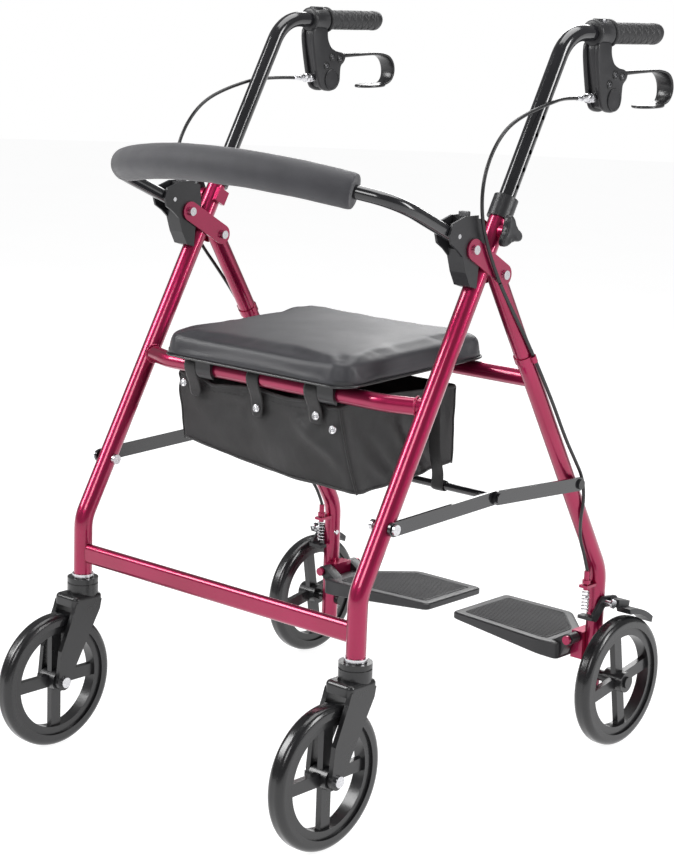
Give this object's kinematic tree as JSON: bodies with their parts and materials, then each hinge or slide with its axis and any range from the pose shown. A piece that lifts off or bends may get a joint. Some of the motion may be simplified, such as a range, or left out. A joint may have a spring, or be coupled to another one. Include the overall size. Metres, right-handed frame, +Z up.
{
  "type": "rollator walker",
  "caption": "Folding rollator walker with casters, loop brakes, padded flip-up seat, storage bag, curved padded backrest and flip-up footrests.",
  "frame": {"origin": "on the floor under the middle of the walker, at the bottom centre of its box", "axes": "+Z up, +X to the user's left, -Y the direction of travel"},
  "size_m": [0.6346, 0.7826, 1.0308],
  "materials": {
    "frame_red": "metallic gloss",
    "tube_black": "gloss",
    "steel": "satin",
    "plastic_black": "satin",
    "tab_grey": "satin",
    "foam_grey": "matte foam",
    "pad_black": "grained",
    "bag_black": "woven nylon",
    "webbing": "woven",
    "tyre_black": "gloss",
    "rim_black": "gloss",
    "grip_black": "matte",
    "cable_black": "satin"
  },
  "bodies": {
    "front_frame": {"front_leg_left": "frame_red", "front_leg_right": "frame_red", "lower_crossbar": "frame_red", "seat_front_tube": "frame_red", "pivot_plates": "frame_red", "leg_collars": "plastic_black", "clamp_bosses": "frame_red", "backrest_brackets": "plastic_black", "frame_bolts": "steel", "caster_bushes": "plastic_black", "storage_bag": "bag_black", "brake_cable_upper_left": "cable_black", "brake_cable_upper_right": "cable_black"},
    "seat": {"seat_board": "plastic_black", "seat_pad": "pad_black", "seat_clips": "plastic_black"},
    "backrest": {"backrest_bar": "tube_black", "backrest_foam": "foam_grey"},
    "lock_tab_left": {"backrest_lock_tab_left": "tab_grey"},
    "lock_tab_right": {"backrest_lock_tab_right": "tab_grey"},
    "rear_frame": {"rear_leg_left": "frame_red", "rear_leg_right": "frame_red", "seat_rear_tube": "frame_red", "rear_axles": "steel", "brake_pins": "steel", "cable_guides": "frame_red", "brake_springs": "steel", "footrest_brackets": "frame_red", "brake_cables_lower": "cable_black"},
    "front_braces": {"brace_bars_front": "tube_black", "brace_crossbar": "tube_black", "pull_strap": "webbing"},
    "rear_braces": {"brace_bars_rear": "tube_black", "brace_rear_rivets": "steel"},
    "handle_left": {"handle_tube_left": "tube_black", "grip_left": "grip_black", "brake_housing_left": "plastic_black"},
    "lever_left": {"brake_lever_left": "plastic_black"},
    "knob_left": {"height_knob_left": "plastic_black"},
    "brake_arm_body_left": {"brake_arm_left": "plastic_black"},
    "rear_wheel_left": {"rear_tyre_left": "tyre_black", "rear_rim_left": "rim_black"},
    "caster_left": {"caster_fork_left": "plastic_black", "caster_hardware_left": "steel"},
    "front_wheel_left": {"front_tyre_left": "tyre_black", "front_rim_left": "rim_black"},
    "footrest_body_left": {"footrest_left": "plastic_black"},
    "handle_right": {"handle_tube_right": "tube_black", "grip_right": "grip_black", "brake_housing_right": "plastic_black"},
    "lever_right": {"brake_lever_right": "plastic_black"},
    "knob_right": {"height_knob_right": "plastic_black"},
    "brake_arm_body_right": {"brake_arm_right": "plastic_black"},
    "rear_wheel_right": {"rear_tyre_right": "tyre_black", "rear_rim_right": "rim_black"},
    "caster_right": {"caster_fork_right": "plastic_black", "caster_hardware_right": "steel"},
    "front_wheel_right": {"front_tyre_right": "tyre_black", "front_rim_right": "rim_black"},
    "footrest_body_right": {"footrest_right": "plastic_black"}
  },
  "joints": [
    {"name": "fold", "type": "hinge", "parent": "front_frame", "child": "rear_frame", "pos_m": [0, 0.0059, 0.7039], "axis": [-1, 0, 0], "range_deg": [0, 25], "deforming": ["storage_bag", "brake_cables_lower", "pull_strap"]},
    {"name": "front_brace_swing", "type": "hinge", "parent": "front_frame", "child": "front_braces", "pos_m": [0, -0.19954, 0.4], "axis": [1, 0, 0], "range_deg": [0, 31.89]},
    {"name": "rear_brace_swing", "type": "hinge", "parent": "front_braces", "child": "rear_braces", "pos_m": [0, 0.01, 0.4073], "axis": [-1, 0, 0], "range_deg": [0, 94.94]},
    {"name": "seat_tip", "type": "hinge", "parent": "front_frame", "child": "seat", "pos_m": [0, -0.1417, 0.5425], "axis": [1, 0, 0], "range_deg": [0, 80]},
    {"name": "backrest_swing", "type": "hinge", "parent": "front_frame", "child": "backrest", "pos_m": [0, -0.08887, 0.75927], "axis": [-1, 0, 0], "range_deg": [0, 62]},
    {"name": "lock_tab_press_left", "type": "slide", "parent": "front_frame", "child": "lock_tab_left", "axis": [0, 0, -1], "range_m": [0, 0.004], "stiffness_N_per_m": 600, "springref_m": -0.002},
    {"name": "handle_height_left", "type": "slide", "parent": "front_frame", "child": "handle_left", "axis": [0, 0.483, 0.8756], "range_m": [-0.15, 0], "deforming": ["brake_cable_upper_left"]},
    {"name": "knob_turn_left", "type": "hinge", "parent": "front_frame", "child": "knob_left", "pos_m": [0.255, -0.00114, 0.7597], "axis": [1, 0, 0], "continuous": true},
    {"name": "lever_squeeze_left", "type": "hinge", "parent": "handle_left", "child": "lever_left", "pos_m": [0.255, 0.2383, 0.956], "axis": [1, 0, 0], "range_deg": [0, 9], "stiffness_Nm_per_rad": 1.2, "springref_deg": -11.46},
    {"name": "brake_arm_turn_left", "type": "hinge", "parent": "rear_frame", "child": "brake_arm_body_left", "pos_m": [0.255, 0.2847, 0.2082], "axis": [-1, 0, 0], "range_deg": [0, 2.25], "deforming": ["brake_springs"]},
    {"name": "rear_wheel_spin_left", "type": "hinge", "parent": "rear_frame", "child": "rear_wheel_left", "pos_m": [0.2973, 0.2923, 0.095], "axis": [1, 0, 0], "continuous": true},
    {"name": "caster_swivel_left", "type": "hinge", "parent": "front_frame", "child": "caster_left", "pos_m": [0.255, -0.244, 0.2398], "axis": [0, 0, 1], "continuous": true},
    {"name": "front_wheel_spin_left", "type": "hinge", "parent": "caster_left", "child": "front_wheel_left", "pos_m": [0.255, -0.2962, 0.095], "axis": [1, 0, 0], "continuous": true},
    {"name": "footrest_flip_left", "type": "hinge", "parent": "rear_frame", "child": "footrest_body_left", "pos_m": [0.2385, 0.2883, 0.151], "axis": [0, 1, 0], "range_deg": [0, 85]},
    {"name": "lock_tab_press_right", "type": "slide", "parent": "front_frame", "child": "lock_tab_right", "axis": [0, 0, -1], "range_m": [0, 0.004], "stiffness_N_per_m": 600, "springref_m": -0.002},
    {"name": "handle_height_right", "type": "slide", "parent": "front_frame", "child": "handle_right", "axis": [0, 0.483, 0.8756], "range_m": [-0.15, 0], "deforming": ["brake_cable_upper_right"]},
    {"name": "knob_turn_right", "type": "hinge", "parent": "front_frame", "child": "knob_right", "pos_m": [-0.255, -0.00114, 0.7597], "axis": [1, 0, 0], "continuous": true},
    {"name": "lever_squeeze_right", "type": "hinge", "parent": "handle_right", "child": "lever_right", "pos_m": [-0.255, 0.2383, 0.956], "axis": [1, 0, 0], "range_deg": [0, 9], "stiffness_Nm_per_rad": 1.2, "springref_deg": -11.46},
    {"name": "brake_arm_turn_right", "type": "hinge", "parent": "rear_frame", "child": "brake_arm_body_right", "pos_m": [-0.255, 0.2847, 0.2082], "axis": [-1, 0, 0], "range_deg": [0, 2.25]},
    {"name": "rear_wheel_spin_right", "type": "hinge", "parent": "rear_frame", "child": "rear_wheel_right", "pos_m": [-0.2973, 0.2923, 0.095], "axis": [1, 0, 0], "continuous": true},
    {"name": "caster_swivel_right", "type": "hinge", "parent": "front_frame", "child": "caster_right", "pos_m": [-0.255, -0.244, 0.2398], "axis": [0, 0, 1], "continuous": true},
    {"name": "front_wheel_spin_right", "type": "hinge", "parent": "caster_right", "child": "front_wheel_right", "pos_m": [-0.255, -0.2962, 0.095], "axis": [1, 0, 0], "continuous": true},
    {"name": "footrest_flip_right", "type": "hinge", "parent": "rear_frame", "child": "footrest_body_right", "pos_m": [-0.2385, 0.2883, 0.151], "axis": [0, -1, 0], "range_deg": [0, 85]}
  ],
  "couplings": [
    {"joint": "front_brace_swing", "follows": "fold", "ratio": 1.2754},
    {"joint": "rear_brace_swing", "follows": "fold", "ratio": 3.7975},
    {"joint": "brake_arm_turn_left", "follows": "lever_squeeze_left", "ratio": 0.25},
    {"joint": "brake_arm_turn_right", "follows": "lever_squeeze_right", "ratio": 0.25}
  ]
}
